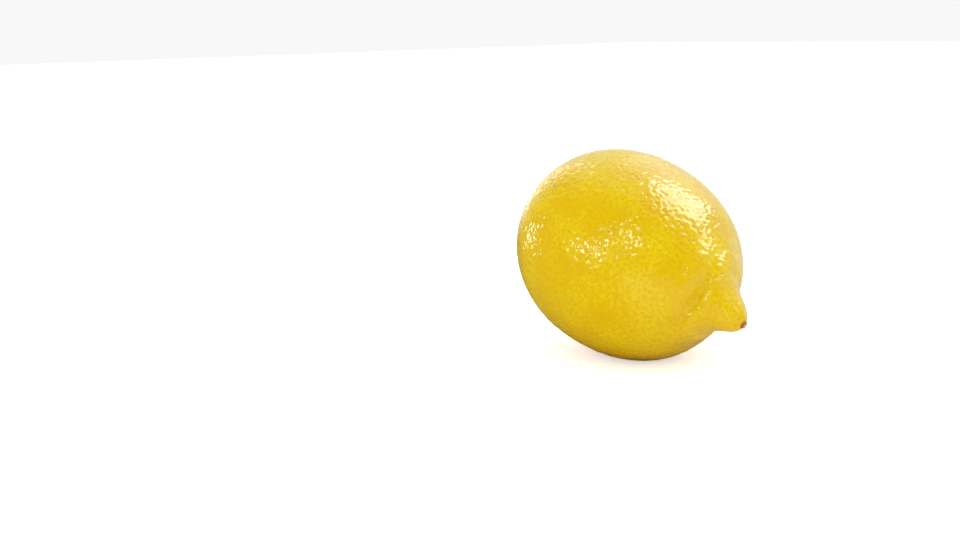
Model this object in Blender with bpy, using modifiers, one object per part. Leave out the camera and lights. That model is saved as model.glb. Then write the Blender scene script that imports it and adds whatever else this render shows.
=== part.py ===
"""A whole lemon lying on its side, on a small flat spot on its underside.

The rind is one turned body, from the stem end round to the nipple. It is then sculpted by
formulas: the nipple bends a little, the body runs on into it on one side, a soft crease folds
round its root on another, and soft ribs run in to the stem. The dried calyx, the cut stem in
it and the scar left by the style at the tip of the nipple each sit in a shallow seat.

Lengths are in metres and angles in radians. The fruit is modelled upright in a local frame
whose +Z is the fruit's own axis: the bare body closes at z = 0 at the stem end, and the nipple
is on top. It is then laid over, with the nipple along +X and drooping. The origin is the middle
of the flat spot, and +Z is up.
"""
import math

import bmesh
import bpy
import numpy as np
from mathutils import Matrix, Vector

# ---------------------------------------------------------------- driving dimensions
BODY_RADIUS = 0.0309
STEM_HALF_LENGTH = 0.0347      # from the widest ring to the stem end
NIPPLE_HALF_LENGTH = 0.0379    # from the widest ring to where the body would close without a nipple
STEM_HALF_POWER = 2.2          # 2 is an ellipse, more is squarer
NIPPLE_HALF_POWER = 2.10

NIPPLE_LENGTH = 0.0106         # how far the nipple stands beyond where the body would close
NIPPLE_ROOT_DEPTH = 0.0080     # how far inside the body the nipple's taper starts
NIPPLE_ROOT_RADIUS = 0.0096
NIPPLE_TIP_RADIUS = 0.0041
NIPPLE_CAP_LENGTH = 0.0060     # the rounded end of the taper
NIPPLE_FILLET = 0.0090         # how widely the corner between nipple and body is rounded in
NIPPLE_BEND = math.radians(13)
NIPPLE_BEND_AZIMUTH = math.radians(50)

CREASE_AZIMUTH = math.radians(-118)   # the side of the nipple that the crease folds round
CREASE_TILT = math.radians(38)        # how far the crease's plane leans from square to the axis
CREASE_OFFSET = 0.0070                # from the body's closing point to the crease's plane
CREASE_WIDTH = 0.0020
CREASE_DEPTH = 0.0021
CREASE_HALF_SPAN = 0.0125
COLLAR_HEIGHT = 0.0012                # the low ridge on the body's side of the crease
COLLAR_DISTANCE = 0.0036
COLLAR_WIDTH = 0.0026
FLANK_HEIGHT = 0.0026                 # the fullness on the nipple's side of the crease
FLANK_DISTANCE = 0.0040
FLANK_WIDTH = 0.0036
NECK_AZIMUTH = math.radians(165)      # the side on which the body runs on into the nipple
NECK_HEIGHT = 0.0030
NECK_OFFSET = 0.0005                  # from the body's closing point
NECK_WIDTH = 0.0040
THROAT_AZIMUTH = math.radians(-28)    # the lower side, with a web in the corner and hollows round it
WEB_HEIGHT = 0.0016
WEB_WIDTH = 0.0022
THROAT_DEPTH = 0.0009
THROAT_OFFSET = 0.0058                # beyond the body's closing point
THROAT_WIDTH = 0.0032
SHOULDER_DEPTH = 0.0010
SHOULDER_OFFSET = 0.0060              # short of the body's closing point
SHOULDER_WIDTH = 0.0030

STEM_RIBS = 7
STEM_RIB_DEPTH = 0.00030
STEM_RIB_REACH = 0.0110        # how far from the stem end the ribs fade out

DROOP = math.radians(16.9)     # how far the nipple end points below level
FLAT_DEPTH = 0.0010            # how much the underside is flattened

STUB_RADIUS = 0.0024
STUB_LENGTH = 0.0021
STUB_EDGE = 0.00030
CALYX_RADIUS = 0.0036
CALYX_HUB_WIDTH = 0.0004       # the flat top round the stem's hole
CALYX_RIM_BEVEL = 0.0002
CALYX_LOBES = 5
CALYX_LOBE_DEPTH = 0.00045
CALYX_RIM_THICKNESS = 0.0007
CALYX_HUB_THICKNESS = 0.0013
CALYX_SEAT_DEPTH = 0.0009      # how deep the seat lies below the stem end
SCAR_RADIUS = 0.0010
SCAR_THICKNESS = 0.0007
SCAR_LIP_RADIUS = 0.00070      # the crest of its ring
SCAR_DIMPLE = 0.00025          # how far the middle and the rim lie below that crest
SCAR_SEAT_DEPTH = 0.0007       # how deep the seat lies below the nipple's tip
CLEARANCE = 0.0003             # between pieces that touch

# ---------------------------------------------------------------- mesh density
SEGMENTS = 64
BODY_STEP = 0.0027             # spacing of the rings along the body
NIPPLE_STEP = 0.0011           # spacing of the rings along the nipple
SMALL_SEGMENTS = 40
WELD_DISTANCE = 1e-6
CUTTER_MARGIN = 0.004          # how far a cutter reaches out past the surface it cuts

BODY_END = STEM_HALF_LENGTH + NIPPLE_HALF_LENGTH
FRUIT_END = BODY_END + NIPPLE_LENGTH
NIPPLE_ROOT = BODY_END - NIPPLE_ROOT_DEPTH
QUARTER_TURN = math.pi / 2

PARTS = "lemon"
CUTTERS = "cutters"


def clear_scene():
    for obj in list(bpy.data.objects):
        bpy.data.objects.remove(obj, do_unlink=True)


def make_collection(name):
    collection = bpy.data.collections.new(name)
    bpy.context.scene.collection.children.link(collection)
    return collection


def make_material(name, colour, roughness, metallic=0.0):
    material = bpy.data.materials.new(name)
    material.use_nodes = True
    shader = material.node_tree.nodes["Principled BSDF"]
    shader.inputs["Base Color"].default_value = (*colour, 1.0)
    shader.inputs["Roughness"].default_value = roughness
    shader.inputs["Metallic"].default_value = metallic
    material.diffuse_color = (*colour, 1.0)
    return material


# ---------------------------------------------------------------- the fruit's outline
def clamp(share):
    return min(max(share, 0.0), 1.0)


def body_radius_at(z):
    """Radius of the bare body, two rounded halves that meet at the widest ring."""
    if z < STEM_HALF_LENGTH:
        length, power = STEM_HALF_LENGTH, STEM_HALF_POWER
    else:
        length, power = NIPPLE_HALF_LENGTH, NIPPLE_HALF_POWER
    share = clamp(abs(z - STEM_HALF_LENGTH) / length)
    return BODY_RADIUS * (1.0 - share ** power) ** (1.0 / power)


def nipple_radius_at(z):
    """Radius of the nipple's plain taper."""
    along = clamp((z - NIPPLE_ROOT) / (FRUIT_END - NIPPLE_ROOT))
    return NIPPLE_ROOT_RADIUS + (NIPPLE_TIP_RADIUS - NIPPLE_ROOT_RADIUS) * along


def cap_at(z):
    """The share of the radius that the nipple's round end leaves."""
    into_cap = clamp((z - FRUIT_END) / NIPPLE_CAP_LENGTH + 1.0)
    return math.sqrt(1.0 - into_cap ** 2)


def fruit_radius_at(z):
    """Radius of the whole outline: the body, with a fillet into the nipple."""
    body = body_radius_at(z)
    if z < STEM_HALF_LENGTH:
        return body
    nipple = nipple_radius_at(z)
    near = clamp(1.0 - abs(body - nipple) / NIPPLE_FILLET)
    return (max(body, nipple) + NIPPLE_FILLET * near * near / 4.0) * cap_at(z)


def fruit_outline():
    """Points (radius, z) from the nipple's tip down to the stem end, evenly spaced along the curve."""
    turns = np.linspace(0.0, math.pi, 2001)
    heights = FRUIT_END * (1.0 + np.cos(turns)) / 2.0
    radii = np.array([fruit_radius_at(z) for z in heights])
    travelled = np.r_[0.0, np.cumsum(np.hypot(np.diff(radii), np.diff(heights)))]
    root = float(np.interp(-NIPPLE_ROOT, -heights, travelled))
    on_nipple = np.linspace(0.0, root, round(root / NIPPLE_STEP) + 1)
    on_body = np.linspace(root, travelled[-1], round((travelled[-1] - root) / BODY_STEP) + 1)
    stops = np.r_[on_nipple, on_body[1:]]
    return list(zip(np.interp(stops, travelled, radii), np.interp(stops, travelled, heights)))


def turn(name, outline, segments, collection):
    """Turn an outline, given from top to bottom, about Z and return it as a plain mesh object."""
    mesh = bpy.data.meshes.new(name)
    points = [(radius, 0.0, z) for radius, z in outline]
    mesh.from_pydata(points, [(i, i + 1) for i in range(len(points) - 1)], [])
    obj = bpy.data.objects.new(name, mesh)
    collection.objects.link(obj)
    screw = obj.modifiers.new("turn", "SCREW")
    screw.steps = segments
    screw.render_steps = segments
    screw.use_merge_vertices = True
    screw.merge_threshold = WELD_DISTANCE
    graph = bpy.context.evaluated_depsgraph_get()
    turned = bpy.data.meshes.new_from_object(obj.evaluated_get(graph))
    obj.modifiers.clear()
    obj.data = turned
    bpy.data.meshes.remove(mesh)
    turned.name = name
    weld(turned)
    return obj


def weld(mesh):
    """Join the points that the turning left doubled on the axis."""
    cage = bmesh.new()
    cage.from_mesh(mesh)
    bmesh.ops.remove_doubles(cage, verts=cage.verts, dist=WELD_DISTANCE * 10)
    bmesh.ops.recalc_face_normals(cage, faces=cage.faces)
    cage.to_mesh(mesh)
    cage.free()


# ---------------------------------------------------------------- sculpting by formula
def hill(distance, width):
    return math.exp(-((distance / width) ** 2))


def stem_rib(point):
    """Soft ribs that run in to the stem end, given as a change of radius."""
    fade = clamp(1.0 - point.z / STEM_RIB_REACH)
    root = clamp(math.hypot(point.x, point.y) / CALYX_RADIUS)
    azimuth = math.atan2(point.y, point.x)
    return STEM_RIB_DEPTH * fade * root * math.cos(STEM_RIBS * azimuth)


def crease(point):
    """The fold round one side of the nipple's root, its collar and its flank, as a change of radius."""
    side = Vector((math.cos(CREASE_AZIMUTH), math.sin(CREASE_AZIMUTH)))
    near = point.xy.dot(side)
    across = point.x * side.y - point.y * side.x
    if near <= 0.0:
        return 0.0
    above = (point.z - BODY_END) * math.cos(CREASE_TILT) - near * math.sin(CREASE_TILT)
    above += CREASE_OFFSET
    facing = near / math.hypot(near, across)
    span = math.exp(-((across / CREASE_HALF_SPAN) ** 4)) * facing
    fold = -CREASE_DEPTH * hill(above, CREASE_WIDTH)
    collar = COLLAR_HEIGHT * hill(above + COLLAR_DISTANCE, COLLAR_WIDTH)
    flank = FLANK_HEIGHT * hill(above - FLANK_DISTANCE, FLANK_WIDTH)
    return (fold + collar + flank) * span


def swell(point, azimuth, height, place, width):
    """A rise, or a hollow if height is negative, on one side of the fruit, as a change of radius."""
    facing = max(math.cos(math.atan2(point.y, point.x) - azimuth), 0.0)
    return height * facing * hill(point.z - place, width)


def nipple_root(point):
    """How the body runs on into the nipple above and is hollowed below, as a change of radius."""
    return (
        swell(point, NECK_AZIMUTH, NECK_HEIGHT, BODY_END - NECK_OFFSET, NECK_WIDTH)
        + swell(point, THROAT_AZIMUTH, WEB_HEIGHT, BODY_END, WEB_WIDTH)
        + swell(point, THROAT_AZIMUTH, -THROAT_DEPTH, BODY_END + THROAT_OFFSET, THROAT_WIDTH)
        + swell(point, THROAT_AZIMUTH, -SHOULDER_DEPTH, BODY_END - SHOULDER_OFFSET, SHOULDER_WIDTH)
    )


def bend(point):
    """Where a point goes as the nipple bends over; the body stays as it is."""
    length = FRUIT_END - NIPPLE_ROOT
    turned = NIPPLE_BEND * (point.z - NIPPLE_ROOT) / length
    if turned <= 0.0:
        return point
    towards = Matrix.Rotation(NIPPLE_BEND_AZIMUTH, 3, "Z")
    radius = length / NIPPLE_BEND
    local = towards.transposed() @ point
    bent = Vector((
        radius * (1.0 - math.cos(turned)) + local.x * math.cos(turned),
        local.y,
        NIPPLE_ROOT + radius * math.sin(turned) - local.x * math.sin(turned),
    ))
    return towards @ bent


def sculpt(mesh):
    for vertex in mesh.vertices:
        point = vertex.co.copy()
        radius = math.hypot(point.x, point.y)
        if radius > WELD_DISTANCE:
            scale = (radius + stem_rib(point) + crease(point) + nipple_root(point)) / radius
            point.x *= scale
            point.y *= scale
        vertex.co = bend(point)


# ---------------------------------------------------------------- where things are
def lay_down(mesh):
    """The matrix that lays the upright fruit down, its lowest point FLAT_DEPTH below z = 0."""
    turned = Matrix.Rotation(QUARTER_TURN + DROOP, 4, "Y")
    lowest = min((turned @ vertex.co for vertex in mesh.vertices), key=lambda point: point.z)
    return Matrix.Translation((-lowest.x, -lowest.y, -lowest.z - FLAT_DEPTH)) @ turned


def stem_frame():
    """At the stem end, with +Z pointing out of the fruit."""
    return Matrix.Rotation(math.pi, 4, "X")


def nipple_frame():
    """At the nipple's tip, with +Z pointing out of the fruit along the bent nipple."""
    tip = bend(Vector((0.0, 0.0, FRUIT_END)))
    towards = Matrix.Rotation(NIPPLE_BEND_AZIMUTH, 4, "Z")
    return Matrix.Translation(tip) @ towards @ Matrix.Rotation(NIPPLE_BEND, 4, "Y")


def cylinder(name, radius, bottom, top, collection):
    mesh = bpy.data.meshes.new(name)
    cage = bmesh.new()
    place = Matrix.Translation((0.0, 0.0, (bottom + top) / 2.0))
    bmesh.ops.create_cone(cage, cap_ends=True, segments=SMALL_SEGMENTS, radius1=radius,
                          radius2=radius, depth=top - bottom, matrix=place)
    cage.to_mesh(mesh)
    cage.free()
    obj = bpy.data.objects.new(name, mesh)
    collection.objects.link(obj)
    return obj


def resting_block(collection):
    """A block below z = 0, which flattens the underside where the fruit rests."""
    side = 2.0 * FRUIT_END
    mesh = bpy.data.meshes.new("resting_block")
    cage = bmesh.new()
    bmesh.ops.create_cube(cage, size=side, matrix=Matrix.Translation((0.0, 0.0, -side / 2.0)))
    cage.to_mesh(mesh)
    cage.free()
    obj = bpy.data.objects.new("resting_block", mesh)
    collection.objects.link(obj)
    return obj


def subtract(obj, cutter):
    cutter.hide_render = True
    cutter.display_type = "WIRE"
    cut = obj.modifiers.new(cutter.name, "BOOLEAN")
    cut.operation = "DIFFERENCE"
    cut.solver = "EXACT"
    cut.object = cutter


def smooth(obj, angle=math.radians(35)):
    obj.data.shade_smooth()
    obj.data.set_sharp_from_angle(angle=angle)


# ---------------------------------------------------------------- the pieces
def make_fruit(parts, cutters):
    fruit = turn("fruit", fruit_outline(), SEGMENTS, parts)
    sculpt(fruit.data)
    smooth(fruit)
    laid = lay_down(fruit.data)
    fruit.matrix_world = laid
    subtract(fruit, resting_block(cutters))
    seat = cylinder("calyx_seat", CALYX_RADIUS + CLEARANCE, -CALYX_SEAT_DEPTH, CUTTER_MARGIN, cutters)
    seat.matrix_world = laid @ stem_frame()
    subtract(fruit, seat)
    pit = cylinder("scar_seat", SCAR_RADIUS + CLEARANCE, -SCAR_SEAT_DEPTH, CUTTER_MARGIN, cutters)
    pit.matrix_world = laid @ nipple_frame()
    subtract(fruit, pit)
    fruit.data.materials.append(make_material("rind", (0.80, 0.55, 0.02), 0.42))
    return laid


def make_calyx(parts, laid):
    """The dried calyx: a low star of lobes round the hole that the stem grows through."""
    bottom = CLEARANCE - CALYX_SEAT_DEPTH
    inner = STUB_RADIUS + CLEARANCE
    outline = [
        (inner, bottom + CALYX_HUB_THICKNESS),
        (inner + CALYX_HUB_WIDTH, bottom + CALYX_HUB_THICKNESS),
        (CALYX_RADIUS - CALYX_RIM_BEVEL, bottom + CALYX_RIM_THICKNESS),
        (CALYX_RADIUS, bottom + CALYX_RIM_THICKNESS - CALYX_RIM_BEVEL),
        (CALYX_RADIUS, bottom),
        (inner, bottom),
        (inner, bottom + CALYX_HUB_THICKNESS),
    ]
    calyx = turn("calyx", outline, SMALL_SEGMENTS, parts)
    for vertex in calyx.data.vertices:
        radius = math.hypot(vertex.co.x, vertex.co.y)
        outward = (radius - inner) / (CALYX_RADIUS - inner)
        azimuth = math.atan2(vertex.co.y, vertex.co.x)
        notch = (1.0 - math.cos(CALYX_LOBES * azimuth)) / 2.0
        scale = 1.0 - CALYX_LOBE_DEPTH * outward * notch / radius
        vertex.co.x *= scale
        vertex.co.y *= scale
    smooth(calyx)
    calyx.matrix_world = laid @ stem_frame()
    calyx.data.materials.append(make_material("dried_calyx", (0.22, 0.20, 0.09), 0.75))


def make_stem_stub(parts, laid):
    """The short cut stem that stands in the calyx."""
    bottom = CLEARANCE - CALYX_SEAT_DEPTH
    stub = cylinder("stem_stub", STUB_RADIUS, bottom, bottom + STUB_LENGTH, parts)
    rounded = stub.modifiers.new("worn_edge", "BEVEL")
    rounded.width = STUB_EDGE
    rounded.segments = 2
    smooth(stub)
    stub.matrix_world = laid @ stem_frame()
    stub.data.materials.append(make_material("cut_stem", (0.45, 0.33, 0.18), 0.8))


def make_style_scar(parts, laid):
    """The corky ring that the flower's style left at the tip of the nipple."""
    bottom = CLEARANCE - SCAR_SEAT_DEPTH
    top = bottom + SCAR_THICKNESS
    outline = [
        (0.0, top - SCAR_DIMPLE),
        (SCAR_LIP_RADIUS / 2.0, top - SCAR_DIMPLE),
        (SCAR_LIP_RADIUS, top),
        (SCAR_RADIUS, top - SCAR_DIMPLE),
        (SCAR_RADIUS, bottom),
        (0.0, bottom),
    ]
    scar = turn("style_scar", outline, SMALL_SEGMENTS, parts)
    smooth(scar)
    scar.matrix_world = laid @ nipple_frame()
    scar.data.materials.append(make_material("corky_scar", (0.30, 0.14, 0.05), 0.85))


def main():
    clear_scene()
    parts = make_collection(PARTS)
    cutters = make_collection(CUTTERS)
    laid = make_fruit(parts, cutters)
    make_calyx(parts, laid)
    make_stem_stub(parts, laid)
    make_style_scar(parts, laid)


main()
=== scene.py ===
"""The looks of the lemon: its pitted waxy rind, dried calyx, cut stem and style scar."""
import math
import random

import bpy
import numpy as np
from mathutils import Matrix, Vector, kdtree, noise


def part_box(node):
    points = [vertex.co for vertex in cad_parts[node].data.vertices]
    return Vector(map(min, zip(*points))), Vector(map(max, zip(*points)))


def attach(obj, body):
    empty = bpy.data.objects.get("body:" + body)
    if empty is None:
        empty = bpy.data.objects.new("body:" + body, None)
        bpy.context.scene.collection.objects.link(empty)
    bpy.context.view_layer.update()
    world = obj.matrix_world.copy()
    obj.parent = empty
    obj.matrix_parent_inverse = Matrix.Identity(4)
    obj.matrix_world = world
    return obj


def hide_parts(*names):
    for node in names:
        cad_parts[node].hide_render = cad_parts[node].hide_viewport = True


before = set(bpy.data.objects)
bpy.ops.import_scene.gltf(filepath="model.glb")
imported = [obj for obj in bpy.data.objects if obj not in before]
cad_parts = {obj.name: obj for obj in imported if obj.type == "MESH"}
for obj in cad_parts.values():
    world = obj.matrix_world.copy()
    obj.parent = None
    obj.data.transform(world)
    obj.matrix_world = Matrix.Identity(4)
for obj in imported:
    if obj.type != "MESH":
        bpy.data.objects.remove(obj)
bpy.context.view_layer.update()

# ---------------------------------------------------------------- sizes, metres
RIND_VOXEL = 0.00040
RIND_SMOOTHING = 45            # rounds that take out the CAD model's facets

# The skin's relief comes back between two distances from the flat spot, calyx and scar.
FLAT_FADE = (0.0002, 0.0012)
STEM_FADE = (0.0042, 0.0062)
TIP_FADE = (0.0015, 0.0030)

DIMPLE_SPACING = 0.00135
DIMPLE_DEPTH = 0.000210
DIMPLE_RADIUS = 0.00038
DIMPLE_SIZES = (0.75, 1.30)    # smallest and largest share of spacing and radius
DIMPLE_STRENGTHS = (0.55, 1.0)
DIMPLE_REACH = 2.2             # where a dimple ends, in its radii
DIMPLE_DEEPEST = 1.2           # where dimples overlap
PEBBLE_HEIGHT = 0.000135       # the soft unevenness between dimples
PEBBLE_SPACING = 0.0014
WAVE_HEIGHT = 0.00022          # the fruit's own slight lumpiness
WAVE_SPACING = 0.017

STEM_FURROWS = 7
STEM_FURROW_DEPTH = 0.00034
STEM_FURROW_REACH = 0.0140
STEM_FURROW_START = 0.0045
NIPPLE_FURROWS = 6
NIPPLE_FURROW_DEPTH = 0.00012
NIPPLE_FURROW_REACH = 0.0150
NIPPLE_FURROW_START = 0.0025

CALYX_LOBES = 5
STUB_HOLE = 1.05               # the calyx's hole, in radii of the stub
SMALL_ROUGHNESS = 0.00009      # the fine unevenness of calyx and stub

SEED = 11

# ---------------------------------------------------------------- camera
CAMERA_PLACE = (0.28353, -0.28535, 0.1014)
CAMERA_TURN = (79.49, 1.20, 51.43)     # degrees
CAMERA_LENS = 50.0                     # millimetres, on a 36 mm sensor
EXPOSURE = 0.03

# ---------------------------------------------------------------- floor
FLOOR_SIZE = 8.0
FLOOR_SEEN = (0.90, 0.90, 0.90)
FLOOR_BOUNCE = (0.90, 0.84, 0.76)      # what the floor throws back at the fruit
# painted shade: the floor shows dark in the skin's shine, lit only beside and behind the fruit
FLOOR_MIRRORED_SHADED = (0.10, 0.10, 0.10)    # how it shows in the skin's shine
FLOOR_MIRRORED_LIT = (0.75, 0.75, 0.75)
FLOOR_GLOW = 0.50

# Where the floor is lit: azimuth and elevation in degrees, and the distances over which it brightens.
FLOOR_BESIDE_WAY = (105.0, 0.0)
FLOOR_BESIDE_REACH = (0.0, 0.04)
FLOOR_BESIDE_GLOW = 0.08
FLOOR_BEHIND_WAY = (172.0, 0.0)
FLOOR_BEHIND_REACH = (0.04, 0.14)

# ---------------------------------------------------------------- lights
LIGHT_DISTANCE = 1.0
LIGHT_AIM = (0.0, 0.0, 0.03)           # the middle of the fruit
TENT_EVEN = 0.92
TENT_DARK = 0.03
TENT_BRIGHT = 1.00
TENT_BRIGHT_WAY = (193.0, 25.0)        # azimuth and elevation, degrees
TENT_BRIGHT_SPREAD = (0.15, 0.55)      # cosines: dark below one, bright past the other

# name, azimuth, elevation, width, height in degrees, radiance
SHINES = [
    ("key", 152.0, 54.0, 36.0, 38.0, 9.0),
    ("key_glow", 196.0, 46.0, 40.0, 44.0, 1.1),
    ("back_left", -108.0, 24.0, 4.0, 50.0, 3.5),
    ("window_left", -13.0, 13.0, 14.0, 7.0, 15.0),
    ("window_middle", 5.0, 23.0, 6.0, 9.0, 16.0),
    ("window_right", 30.0, 38.0, 8.0, 15.0, 12.0),
    ("window_low", -68.0, 5.0, 5.0, 12.0, 14.0),
]
FILLS = [
    ("shape", 150.0, 60.0, 60.0, 60.0, 0.15),
    ("front", 30.0, 12.0, 70.0, 40.0, 0.5),
    ("side", -80.0, 12.0, 50.0, 40.0, 0.65),
]


# ================================================================ helpers
def smoothstep(low, high, value):
    share = np.clip((value - low) / (high - low), 0.0, 1.0)
    return share * share * (3.0 - 2.0 * share)


def points_of(mesh):
    flat = np.empty(len(mesh.vertices) * 3)
    mesh.vertices.foreach_get("co", flat)
    return flat.reshape(-1, 3)


def set_points(mesh, points):
    mesh.vertices.foreach_set("co", points.reshape(-1))
    mesh.update()


def normals_of(mesh):
    flat = np.empty(len(mesh.vertices) * 3)
    mesh.vertex_normals.foreach_get("vector", flat)
    return flat.reshape(-1, 3)


def add_object(name, mesh):
    obj = bpy.data.objects.new(name, mesh)
    bpy.context.scene.collection.objects.link(obj)
    return obj


def set_attribute(mesh, name, values):
    layer = mesh.attributes.new(name, "FLOAT", "POINT")
    layer.data.foreach_set("value", np.asarray(values, dtype=np.float32))


def disc_frame(node, towards):
    """Where a round flat CAD node is: its middle, with +Z along its axis and away from towards."""
    points = points_of(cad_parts[node].data)
    middle = (points.max(axis=0) + points.min(axis=0)) / 2.0
    spread, axes = np.linalg.eigh(np.cov((points - points.mean(axis=0)).T))
    axis = Vector(axes[:, 0])
    if axis.dot(Vector(middle) - towards) < 0.0:
        axis.negate()
    turn = axis.to_track_quat("Z", "Y").to_matrix().to_4x4()
    return Matrix.Translation(middle) @ turn


def noise_at(points, spacing, seed=0.0):
    """Smooth noise from -1 to 1 at each point, with features about spacing apart."""
    offset = Vector((seed, 2.3 * seed, -1.7 * seed))
    return np.array([noise.noise(Vector(point) / spacing + offset) for point in points])


def in_frame(points, matrix):
    inverse = np.array(matrix.inverted())
    return points @ inverse[:3, :3].T + inverse[:3, 3]


# ================================================================ materials
class Nodes:
    """A small helper that adds and links shader nodes of one material."""

    def __init__(self, name):
        self.material = bpy.data.materials.new(name)
        self.material.use_nodes = True
        self.tree = self.material.node_tree
        self.shader = self.tree.nodes["Principled BSDF"]
        self.place = self.tree.nodes.new("ShaderNodeTexCoord").outputs["Object"]

    def link(self, source, socket):
        self.tree.links.new(source, socket)

    def feed(self, socket, value):
        if isinstance(value, bpy.types.NodeSocket):
            self.link(value, socket)
        else:
            socket.default_value = value

    def noise(self, spacing, detail=3.0, roughness=0.5, distortion=0.0):
        node = self.tree.nodes.new("ShaderNodeTexNoise")
        self.link(self.place, node.inputs["Vector"])
        node.inputs["Scale"].default_value = 1.0 / spacing
        node.inputs["Detail"].default_value = detail
        node.inputs["Roughness"].default_value = roughness
        node.inputs["Distortion"].default_value = distortion
        return node.outputs["Fac"]

    def voronoi(self, spacing):
        node = self.tree.nodes.new("ShaderNodeTexVoronoi")
        self.link(self.place, node.inputs["Vector"])
        node.inputs["Scale"].default_value = 1.0 / spacing
        return node.outputs["Distance"]

    def attribute(self, name):
        node = self.tree.nodes.new("ShaderNodeAttribute")
        node.attribute_name = name
        return node.outputs["Fac"]

    def height(self):
        node = self.tree.nodes.new("ShaderNodeSeparateXYZ")
        self.link(self.place, node.inputs[0])
        return node.outputs["Z"]

    def along(self, way):
        """How far out each point lies in a direction."""
        node = self.tree.nodes.new("ShaderNodeVectorMath")
        node.operation = "DOT_PRODUCT"
        self.link(self.place, node.inputs[0])
        node.inputs[1].default_value = way
        return node.outputs["Value"]

    def map(self, value, low, high, new_low=0.0, new_high=1.0):
        """A smooth step from one range to another."""
        node = self.tree.nodes.new("ShaderNodeMapRange")
        node.interpolation_type = "SMOOTHSTEP"
        self.feed(node.inputs["Value"], value)
        node.inputs["From Min"].default_value = low
        node.inputs["From Max"].default_value = high
        node.inputs["To Min"].default_value = new_low
        node.inputs["To Max"].default_value = new_high
        return node.outputs["Result"]

    def math(self, operation, first, second):
        node = self.tree.nodes.new("ShaderNodeMath")
        node.operation = operation
        self.feed(node.inputs[0], first)
        self.feed(node.inputs[1], second)
        return node.outputs[0]

    def part(self, value, share):
        return self.math("MULTIPLY", value, share)

    def mix(self, share, first, second):
        node = self.tree.nodes.new("ShaderNodeMix")
        node.data_type = "RGBA"
        self.feed(node.inputs["Factor"], share)
        self.feed(node.inputs["A"], self.colour(first))
        self.feed(node.inputs["B"], self.colour(second))
        return node.outputs["Result"]

    def colour(self, value):
        if isinstance(value, tuple):
            return (*value, 1.0)
        return value

    def near(self, middle, radius, edge):
        """1 inside a ball round a point, 0 outside, with a soft edge."""
        node = self.tree.nodes.new("ShaderNodeVectorMath")
        node.operation = "DISTANCE"
        self.link(self.place, node.inputs[0])
        node.inputs[1].default_value = middle
        return self.map(node.outputs["Value"], radius - edge, radius + edge, 1.0, 0.0)

    def bump(self, height, distance, strength=1.0):
        node = self.tree.nodes.new("ShaderNodeBump")
        node.inputs["Distance"].default_value = distance
        node.inputs["Strength"].default_value = strength
        self.link(height, node.inputs["Height"])
        return node.outputs["Normal"]

    def set(self, **values):
        """Fills sockets of the shader, named with underscores for spaces."""
        for name, value in values.items():
            self.feed(self.shader.inputs[name.replace("_", " ")], value)


# Colours of the skin, linear.
LEMON = (0.790, 0.575, 0.0012)
LEMON_DEEP = (0.775, 0.500, 0.0008)
LEMON_PALE = (0.850, 0.665, 0.003)
# painted sheen: a paler yellow between the glands, standing in for the soft shine that the pits break
# up
LEMON_PAINTED_SHEEN = (0.870, 0.710, 0.006)
LEMON_GREEN = (0.560, 0.560, 0.020)
LEMON_BLUSH = (0.560, 0.270, 0.015)
# painted shade: a darker orange standing in for the shade and warm bounce under the fruit
LEMON_PAINTED_UNDERSIDE_SHADE = (0.840, 0.260, 0.0040)
GLAND = (0.760, 0.440, 0.0006)
SCUFF = (0.420, 0.220, 0.060)

# Spacings of the skin's patterns.
PATCH_SPACING = 0.022
SHEEN_PATCH_SPACING = 0.013
MOTTLE_SPACING = 0.006
GRAIN_SPACING = 0.0011
GLAND_SPACING = 0.00095

# painted shade: the heights over which the skin turns to the painted underside shade
PAINTED_SHADE_HEIGHTS = (0.0015, 0.0085)
PAINTED_SHADE_SHARE = 0.65
GREEN_RADIUS = 0.0062          # the greenish rind round the stem
GREEN_EDGE = 0.0045
BLUSH_RADIUS = 0.0026          # the brownish rind round the style scar
BLUSH_EDGE = 0.0014

# Small healed marks on the skin: middle, radius.
MARKS = [
    ((-0.0124, -0.0222, 0.0530), 0.0011),
    ((0.0279, 0.0077, 0.0393), 0.0009),
    ((-0.0180, 0.0230, 0.0450), 0.0013),
    ((0.0050, 0.0290, 0.0200), 0.0008),
]


def broad_tint(n, stem_place, tip_place):
    """The skin's colour before its glands and marks, with a painted shade that turns it darker and more
    orange towards the bottom.
    """
    patches = n.map(n.noise(PATCH_SPACING, 2.0), 0.35, 0.70)
    mottle = n.map(n.noise(MOTTLE_SPACING, 4.0), 0.40, 0.75)
    colour = n.mix(n.part(patches, 0.55), LEMON, LEMON_DEEP)
    colour = n.mix(n.part(mottle, 0.22), colour, LEMON_PALE)
    # painted shade: darker and more orange towards the bottom, standing in for the shade and warm
    # bounce under the fruit
    low = n.map(n.height(), *PAINTED_SHADE_HEIGHTS, PAINTED_SHADE_SHARE, 0.0)
    colour = n.mix(low, colour, LEMON_PAINTED_UNDERSIDE_SHADE)
    uneven = n.map(n.noise(0.004), 0.3, 0.7, 0.2, 0.6)
    green = n.math("MULTIPLY", n.near(stem_place, GREEN_RADIUS, GREEN_EDGE), uneven)
    colour = n.mix(green, colour, LEMON_GREEN)
    uneven = n.map(n.noise(0.0018), 0.3, 0.7, 0.1, 0.6)
    blush = n.math("MULTIPLY", n.near(tip_place, BLUSH_RADIUS, BLUSH_EDGE), uneven)
    return n.mix(blush, colour, LEMON_BLUSH)


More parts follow.
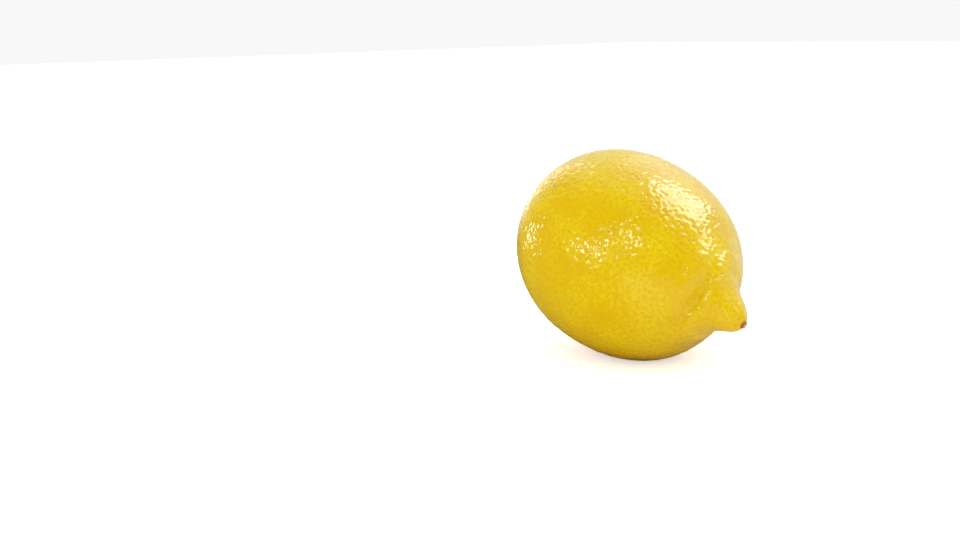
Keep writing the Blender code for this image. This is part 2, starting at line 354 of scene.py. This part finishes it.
def gland_tint(n, colour, fine):
    """Darker oil glands, and a painted sheen that makes the skin between them paler, stronger in some
    patches.
    """
    dimple = n.attribute("dimple")
    # painted sheen: patches where the skin between the glands is painted paler
    sheen_patches = n.map(n.noise(SHEEN_PATCH_SPACING, 2.0), 0.38, 0.60)
    painted_sheen = n.math("SUBTRACT", sheen_patches, n.math("MAXIMUM", fine, dimple))
    grain = n.map(n.noise(GRAIN_SPACING, 3.0, 0.6), 0.38, 0.62)
    # the glands' darker colour is the skin's own; the paler colour between them is painted sheen
    colour = n.mix(n.part(painted_sheen, 0.60), colour, LEMON_PAINTED_SHEEN)
    colour = n.mix(n.part(dimple, 0.45), colour, GLAND)
    colour = n.mix(n.part(fine, 0.40), colour, GLAND)
    return n.mix(n.part(grain, 0.40), colour, GLAND)


def mark_tint(n, colour):
    ragged = n.map(n.noise(0.0009, 3.0), 0.35, 0.65)
    for middle, radius in MARKS:
        mark = n.math("MULTIPLY", n.near(middle, radius, 0.6 * radius), ragged)
        colour = n.mix(n.part(mark, 0.55), colour, SCUFF)
    return colour


def rind_material(stem_place, tip_place):
    """A waxy coat over a skin that lets a little light in."""
    n = Nodes("rind")
    fine = n.map(n.voronoi(GLAND_SPACING), 0.15, 0.50, 1.0, 0.0)
    colour = broad_tint(n, stem_place, tip_place)
    colour = gland_tint(n, colour, fine)
    colour = mark_tint(n, colour)
    relief = n.math("SUBTRACT", n.noise(0.00055, 2.0), n.part(fine, 0.9))
    normal = n.bump(relief, 0.00004, 0.4)
    n.set(
        Base_Color=colour,
        Roughness=n.map(n.noise(0.0035, 3.0), 0.3, 0.7, 0.44, 0.54),
        Specular_IOR_Level=0.06,
        Coat_Weight=n.map(n.noise(0.009, 2.0), 0.3, 0.7, 0.65, 0.90),
        Coat_Roughness=0.045,
        IOR=1.40,
        Coat_IOR=1.45,
        Subsurface_Weight=0.22,
        Subsurface_Radius=(1.0, 0.55, 0.06),
        Subsurface_Scale=0.0018,
        Normal=normal,
    )
    n.link(normal, n.shader.inputs["Coat Normal"])
    return n.material


def calyx_material():
    n = Nodes("dried_calyx")
    fibres = n.noise(0.0009, 5.0, 0.65, 0.6)
    patches = n.map(n.noise(0.0028, 2.0), 0.42, 0.62)
    colour = n.mix(patches, (0.300, 0.090, 0.018), (0.290, 0.180, 0.040))
    colour = n.mix(n.map(fibres, 0.40, 0.68, 0.0, 0.6), colour, (0.420, 0.260, 0.080))
    colour = n.mix(n.attribute("lip"), colour, (0.600, 0.450, 0.190))
    colour = n.mix(n.part(n.attribute("edge"), 0.7), colour, (0.200, 0.055, 0.012))
    n.set(Base_Color=colour, Roughness=n.map(fibres, 0.3, 0.7, 0.58, 0.80), IOR=1.4,
          Normal=n.bump(fibres, 0.00012))
    return n.material


def stem_material():
    n = Nodes("cut_stem")
    grain = n.noise(0.0006, 5.0, 0.7)
    patches = n.map(n.noise(0.0019, 2.0), 0.45, 0.62)
    colour = n.mix(n.map(grain, 0.35, 0.65), (0.660, 0.480, 0.200), (0.840, 0.690, 0.350))
    colour = n.mix(n.part(patches, 0.45), colour, (0.560, 0.520, 0.200))
    colour = n.mix(n.map(n.noise(0.0014, 2.0), 0.58, 0.72, 0.0, 0.5), colour, (0.690, 0.420, 0.280))
    colour = n.mix(n.part(n.attribute("edge"), 0.85), colour, (0.300, 0.150, 0.050))
    # painted shade: the lower side of the stem goes near-black where it meets the calyx
    colour = n.mix(n.attribute("side"), colour, (0.040, 0.012, 0.006))
    n.set(Base_Color=colour, Roughness=n.map(grain, 0.3, 0.7, 0.68, 0.86), IOR=1.4,
          Normal=n.bump(grain, 0.00012))
    return n.material


def scar_material():
    n = Nodes("corky_scar")
    grain = n.noise(0.0005, 4.0, 0.6)
    colour = n.mix(n.map(grain, 0.35, 0.65), (0.340, 0.120, 0.025), (0.520, 0.230, 0.060))
    colour = n.mix(n.attribute("edge"), (0.780, 0.540, 0.260), colour)
    n.set(Base_Color=colour, Roughness=n.map(grain, 0.3, 0.7, 0.70, 0.88), IOR=1.4,
          Normal=n.bump(grain, 0.00008))
    return n.material


# ================================================================ rind
def smooth_out(points, edges, rounds):
    """Taubin smoothing: takes out facets and keeps the size."""
    count = len(points)
    ends = np.concatenate([edges[:, 0], edges[:, 1]])
    others = np.concatenate([edges[:, 1], edges[:, 0]])
    degree = np.bincount(ends, minlength=count)[:, None]
    for step in range(2 * rounds):
        total = np.stack([np.bincount(ends, points[others, k], count) for k in range(3)], axis=1)
        pull = 0.50 if step % 2 == 0 else -0.52
        points = points + pull * (total / degree - points)
    return points


def scatter(points, spacing, rng):
    """Points picked so that no two are much nearer than spacing, with a random size each."""
    tree = kdtree.KDTree(len(points))
    for index, point in enumerate(points):
        tree.insert(point, index)
    tree.balance()
    order = list(range(len(points)))
    rng.shuffle(order)
    taken = bytearray(len(points))
    picked = []
    for index in order:
        if taken[index]:
            continue
        size = rng.uniform(*DIMPLE_SIZES)
        picked.append((points[index], size))
        for _, near, _ in tree.find_range(points[index], spacing * size):
            taken[near] = 1
    return tree, picked


def dimples(points, rng):
    """How deep into dimples each point is: about 1 in the middle of one, more where two overlap."""
    tree, picked = scatter(points, DIMPLE_SPACING, rng)
    depth = np.zeros(len(points))
    for middle, size in picked:
        radius = DIMPLE_RADIUS * size
        strength = rng.uniform(*DIMPLE_STRENGTHS)
        for _, index, distance in tree.find_range(middle, DIMPLE_REACH * radius):
            depth[index] += strength * math.exp(-((distance / radius) ** 2))
    return np.minimum(depth, DIMPLE_DEEPEST)


def furrows(points, matrix, count, reach, start, seed):
    """Soft furrows that run out from a round seat, from 0 to 1."""
    local = in_frame(points, matrix)
    away = np.hypot(local[:, 0], local[:, 1])
    near = np.abs(local[:, 2]) < 1.2 * reach
    azimuth = np.arctan2(local[:, 1], local[:, 0])
    wander = 0.9 * noise_at(points, 0.010, seed)
    crest = (0.5 + 0.5 * np.cos(count * azimuth + 3.0 * wander)) ** 3
    return crest * smoothstep(reach, 0.4 * reach, away) * smoothstep(0.5 * start, start, away) * near


def even_skin(cad):
    """The CAD fruit as one even fine mesh without facets, and its points."""
    rind = add_object("lemon_rind", cad.data.copy())
    weld = rind.modifiers.new("weld", "WELD")
    weld.merge_threshold = 1e-6
    remesh = rind.modifiers.new("remesh", "REMESH")
    remesh.mode = "VOXEL"
    remesh.voxel_size = RIND_VOXEL
    graph = bpy.context.evaluated_depsgraph_get()
    mesh = bpy.data.meshes.new_from_object(rind.evaluated_get(graph))
    rind.modifiers.clear()
    rind.data = mesh
    mesh.name = "lemon_rind"

    edges = np.empty(len(mesh.edges) * 2, dtype=np.int64)
    mesh.edges.foreach_get("vertices", edges)
    points = smooth_out(points_of(mesh), edges.reshape(-1, 2), RIND_SMOOTHING)
    set_points(mesh, points)
    return rind, points


def make_rind(stem, tip):
    """The fruit's skin, with its dimples, pebbling, lumps and furrows as real relief."""
    rind, points = even_skin(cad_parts["fruit"])
    mesh = rind.data
    normals = normals_of(mesh)
    pits = dimples(points, random.Random(SEED))
    from_stem = np.linalg.norm(in_frame(points, stem), axis=1)
    from_tip = np.linalg.norm(in_frame(points, tip), axis=1)
    skin = smoothstep(*FLAT_FADE, points[:, 2])
    skin *= smoothstep(*STEM_FADE, from_stem) * smoothstep(*TIP_FADE, from_tip)

    relief = -DIMPLE_DEPTH * pits * (0.75 + 0.35 * noise_at(points, 0.009, 5.0))
    relief += PEBBLE_HEIGHT * noise_at(points, PEBBLE_SPACING, 1.0)
    relief += WAVE_HEIGHT * noise_at(points, WAVE_SPACING, 2.0)
    relief -= STEM_FURROW_DEPTH * furrows(
        points, stem, STEM_FURROWS, STEM_FURROW_REACH, STEM_FURROW_START, 3.0)
    relief -= NIPPLE_FURROW_DEPTH * furrows(
        points, tip, NIPPLE_FURROWS, NIPPLE_FURROW_REACH, NIPPLE_FURROW_START, 4.0)
    points = points + normals * (relief * skin)[:, None]
    points[:, 2] = np.maximum(points[:, 2], 0.0)
    set_points(mesh, points)
    set_attribute(mesh, "dimple", np.clip(pits * skin, 0.0, 1.0))
    mesh.shade_smooth()

    mesh.materials.clear()
    mesh.materials.append(rind_material(stem.translation, tip.translation))
    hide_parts("fruit")
    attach(rind, "root")


# ================================================================ small pieces
def round_grid(name, rings, segments, place):
    """A mesh of rings of points, closed in the middle at both ends; place(ring, turn) gives a point."""
    points = []
    for ring in range(rings):
        for segment in range(segments):
            points.append(place(ring, 2.0 * math.pi * segment / segments))
    faces = []
    for ring in range(rings - 1):
        for segment in range(segments):
            after = (segment + 1) % segments
            low = ring * segments
            high = low + segments
            faces.append((low + segment, low + after, high + after, high + segment))
    faces.append(tuple(reversed(range(segments))))
    last = (rings - 1) * segments
    faces.append(tuple(range(last, last + segments)))
    mesh = bpy.data.meshes.new(name)
    mesh.from_pydata(points, [], faces)
    mesh.update()
    mesh.shade_smooth()
    return mesh


def heights_along(node, matrix):
    """Lowest and highest height and largest radius of a CAD node in a frame."""
    local = in_frame(points_of(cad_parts[node].data), matrix)
    return local[:, 2].min(), local[:, 2].max(), np.hypot(local[:, 0], local[:, 1]).max()


def finish_small(obj, material, node):
    obj.data.materials.append(material)
    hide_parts(node)
    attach(obj, "root")


def make_calyx(stem):
    """A dried star of five lobes, with a thin lip round the stem and tips that lie on the rind."""
    low, high, radius = heights_along("calyx", stem)
    hole = heights_along("stem_stub", stem)[2] * STUB_HOLE
    top_rings = 18
    rings = top_rings + 5
    segments = 150
    thickness = high - low

    def place(ring, turn):
        across, along = math.cos(turn), math.sin(turn)
        rough = noise.noise(Vector((2.5 * across, 2.5 * along, 7.0)))
        lobe = 0.5 + 0.5 * math.cos(CALYX_LOBES * turn + 0.7 * rough)
        reach = radius * (0.87 + 0.12 * lobe ** 0.7 + 0.07 * rough)
        if ring < top_rings:
            out = ring / (top_rings - 1)
            lip = 0.20 * math.exp(-((out / 0.16) ** 2))
            groove = -0.16 * math.exp(-(((out - 0.34) / 0.16) ** 2))
            drop = 0.62 * out ** 1.8 * (1.15 - 0.30 * lobe)
            fold = 0.09 * math.cos(21.0 * turn + 5.0 * rough) * math.sin(math.pi * out)
            height = low + thickness * (0.86 + lip + groove - drop + fold + 0.12 * rough)
        else:
            out = 1.0 - (ring - top_rings + 1) / (rings - top_rings)
            height = low + thickness * 0.05 * out
        away = hole + (reach - hole) * out
        point = Vector((away * across, away * along, height))
        point.z += SMALL_ROUGHNESS * noise.noise(point / 0.0007)
        return stem @ point

    mesh = round_grid("calyx_star", rings, segments, place)
    obj = add_object("calyx_star", mesh)
    local = in_frame(points_of(mesh), stem)
    away = np.hypot(local[:, 0], local[:, 1])
    share = (away - hole) / (radius - hole)
    set_attribute(mesh, "lip", smoothstep(0.30, 0.10, share) * (local[:, 2] > low + 0.5 * thickness))
    set_attribute(mesh, "edge", smoothstep(0.55, 0.95, share))
    finish_small(obj, calyx_material(), "calyx")


def make_stub(stem):
    """The cut stem: a rough side, a worn rim, faint growth rings and a sunken pith; its lower side is
    painted near-black as shade where it meets the calyx.
    """
    low, high, radius = heights_along("stem_stub", stem)
    side_rings = 9
    face_rings = 20
    segments = 96
    length = high - low

    def place(ring, turn):
        across, along = math.cos(turn), math.sin(turn)
        rough = noise.noise(Vector((1.7 * across, 1.7 * along, 3.0)))
        if ring < side_rings:
            share = ring / (side_rings - 1)
            away = radius * (0.95 + 0.035 * rough - 0.03 * math.sin(math.pi * share))
            height = low + length * 0.86 * share
        else:
            share = (ring - side_rings + 1) / face_rings
            away = radius * (0.95 + 0.035 * rough) * (1.0 - share) + 0.00004
            crown = 0.13 * (1.0 - math.exp(-share / 0.07))
            pith = -0.10 * math.exp(-(((share - 1.0) / 0.16) ** 2))
            ridge = 0.018 * math.cos(share * 24.0 + 2.0 * rough)
            height = low + length * (0.86 + crown + pith + ridge + 0.05 * rough * (1.0 - share))
        point = Vector((away * across, away * along, height))
        point.z += SMALL_ROUGHNESS * noise.noise(point / 0.0006)
        return stem @ point

    mesh = round_grid("stem_stub_cut", side_rings + face_rings, segments, place)
    obj = add_object("stem_stub_cut", mesh)
    local = in_frame(points_of(mesh), stem)
    away = np.hypot(local[:, 0], local[:, 1])
    set_attribute(mesh, "edge", smoothstep(0.80 * radius, 0.93 * radius, away))
    # painted shade: marks the lower side of the stem, painted near-black where it meets the calyx
    set_attribute(mesh, "side", smoothstep(low + 0.82 * length, low + 0.60 * length, local[:, 2]))
    finish_small(obj, stem_material(), "stem_stub")


def make_scar(tip):
    """The corky scar of the style: a low rough ring round a sunken middle."""
    low, high, radius = heights_along("style_scar", tip)
    rings = 18
    segments = 48
    side_rings = 4

    def place(ring, turn):
        across, along = math.cos(turn), math.sin(turn)
        rough = noise.noise(Vector((1.6 * across, 1.6 * along, ring * 0.25)))
        if ring < side_rings:
            share = ring / (side_rings - 1)
            away = radius * (1.04 + 0.06 * rough)
            height = low + (high - low) * 0.62 * share
        else:
            share = 1.0 - (ring - side_rings) / (rings - 1 - side_rings)
            away = radius * (1.0 + 0.06 * rough) * share + 0.00003
            ring_crest = math.exp(-(((share - 0.72) / 0.22) ** 2))
            height = low + (high - low) * (0.45 + 0.50 * ring_crest + 0.10 * rough)
        return tip @ Vector((away * across, away * along, height))

    mesh = round_grid("style_scar_ring", rings, segments, place)
    obj = add_object("style_scar_ring", mesh)
    local = in_frame(points_of(mesh), tip)
    away = np.hypot(local[:, 0], local[:, 1])
    set_attribute(mesh, "edge", smoothstep(0.50 * radius, 0.76 * radius, away))
    finish_small(obj, scar_material(), "style_scar")


# ================================================================ studio
def direction(azimuth, elevation):
    """Unit vector towards an azimuth (0 is -Y, 90 is +X) and an elevation, in degrees."""
    a = math.radians(azimuth)
    e = math.radians(elevation)
    return Vector((math.sin(a) * math.cos(e), -math.cos(a) * math.cos(e), math.sin(e)))


def soft_light(name, azimuth, elevation, width, height, radiance, glossy=True, diffuse=True):
    """A soft box seen from the fruit as width by height degrees, at an azimuth and elevation."""
    data = bpy.data.lights.new(name, "AREA")
    data.shape = "RECTANGLE"
    data.size = 2.0 * LIGHT_DISTANCE * math.tan(math.radians(width / 2.0))
    data.size_y = 2.0 * LIGHT_DISTANCE * math.tan(math.radians(height / 2.0))
    data.energy = math.pi * data.size * data.size_y * radiance
    light = bpy.data.objects.new(name, data)
    bpy.context.scene.collection.objects.link(light)
    way = direction(azimuth, elevation)
    light.location = Vector(LIGHT_AIM) + way * LIGHT_DISTANCE
    light.rotation_euler = way.to_track_quat("Z", "Y").to_euler()
    light.visible_glossy = glossy
    light.visible_diffuse = diffuse
    light.visible_camera = False


def make_world():
    """Even white light on matt surfaces; shiny ones see it bright behind and dark in front."""
    world = bpy.data.worlds.new("white_tent")
    bpy.context.scene.world = world
    world.use_nodes = True
    tree = world.node_tree
    background = tree.nodes["Background"]
    place = tree.nodes.new("ShaderNodeTexCoord")
    dot = tree.nodes.new("ShaderNodeVectorMath")
    dot.operation = "DOT_PRODUCT"
    dot.inputs[1].default_value = direction(*TENT_BRIGHT_WAY)
    tree.links.new(place.outputs["Generated"], dot.inputs[0])
    spread = tree.nodes.new("ShaderNodeMapRange")
    spread.interpolation_type = "SMOOTHSTEP"
    spread.inputs["From Min"].default_value = TENT_BRIGHT_SPREAD[0]
    spread.inputs["From Max"].default_value = TENT_BRIGHT_SPREAD[1]
    spread.inputs["To Min"].default_value = TENT_DARK
    spread.inputs["To Max"].default_value = TENT_BRIGHT
    tree.links.new(dot.outputs["Value"], spread.inputs["Value"])
    seen = tree.nodes.new("ShaderNodeLightPath")
    strength = tree.nodes.new("ShaderNodeMix")
    tree.links.new(seen.outputs["Is Glossy Ray"], strength.inputs["Factor"])
    strength.inputs["A"].default_value = TENT_EVEN
    tree.links.new(spread.outputs["Result"], strength.inputs["B"])
    tree.links.new(strength.outputs["Result"], background.inputs["Strength"])
    background.inputs["Color"].default_value = (1.0, 1.0, 1.0, 1.0)


def make_floor():
    """White to the camera, warm where it lights the fruit, and mostly dark in the skin's shine, as
    painted shade.
    """
    bpy.ops.mesh.primitive_plane_add(size=FLOOR_SIZE, location=(0.0, 0.0, 0.0))
    floor = bpy.context.object
    floor.name = "floor"
    n = Nodes("floor")
    path = n.tree.nodes.new("ShaderNodeLightPath")
    seen = path.outputs["Is Camera Ray"]
    beside = n.map(n.along(direction(*FLOOR_BESIDE_WAY)), *FLOOR_BESIDE_REACH)
    behind = n.map(n.along(direction(*FLOOR_BEHIND_WAY)), *FLOOR_BEHIND_REACH)
    # painted shade: dark in the skin's shine near and in front of the fruit, lit beside and behind it
    mirrored = n.mix(n.math("MAXIMUM", beside, behind), FLOOR_MIRRORED_SHADED, FLOOR_MIRRORED_LIT)
    bounce = n.mix(path.outputs["Is Glossy Ray"], FLOOR_BOUNCE, mirrored)
    n.set(
        Base_Color=n.mix(seen, bounce, FLOOR_SEEN),
        Roughness=1.0,
        Specular_IOR_Level=0.0,
        Emission_Color=(1.0, 1.0, 1.0, 1.0),
        Emission_Strength=n.math("ADD", n.part(seen, FLOOR_GLOW), n.part(beside, FLOOR_BESIDE_GLOW)),
    )
    floor.data.materials.append(n.material)


def make_camera():
    data = bpy.data.cameras.new("camera")
    data.sensor_width = 36.0
    data.lens = CAMERA_LENS
    data.clip_start = 0.01
    data.clip_end = 50.0
    camera = bpy.data.objects.new("camera", data)
    bpy.context.scene.collection.objects.link(camera)
    camera.location = CAMERA_PLACE
    camera.rotation_euler = [math.radians(angle) for angle in CAMERA_TURN]
    bpy.context.scene.camera = camera


def make_studio():
    """The tent, the floor, lights seen only in the shine, fills seen only by matt skin, the camera."""
    make_world()
    make_floor()
    for shine in SHINES:
        soft_light(*shine, diffuse=False)
    for fill in FILLS:
        soft_light(*fill, glossy=False)
    make_camera()
    bpy.context.scene.view_settings.view_transform = "Standard"
    bpy.context.scene.view_settings.exposure = EXPOSURE


fruit_middle = (Vector(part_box("fruit")[0]) + Vector(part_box("fruit")[1])) / 2.0
stem_frame = disc_frame("calyx", fruit_middle)
tip_frame = disc_frame("style_scar", fruit_middle)
make_rind(stem_frame, tip_frame)
make_calyx(stem_frame)
make_stub(stem_frame)
make_scar(tip_frame)
make_studio()
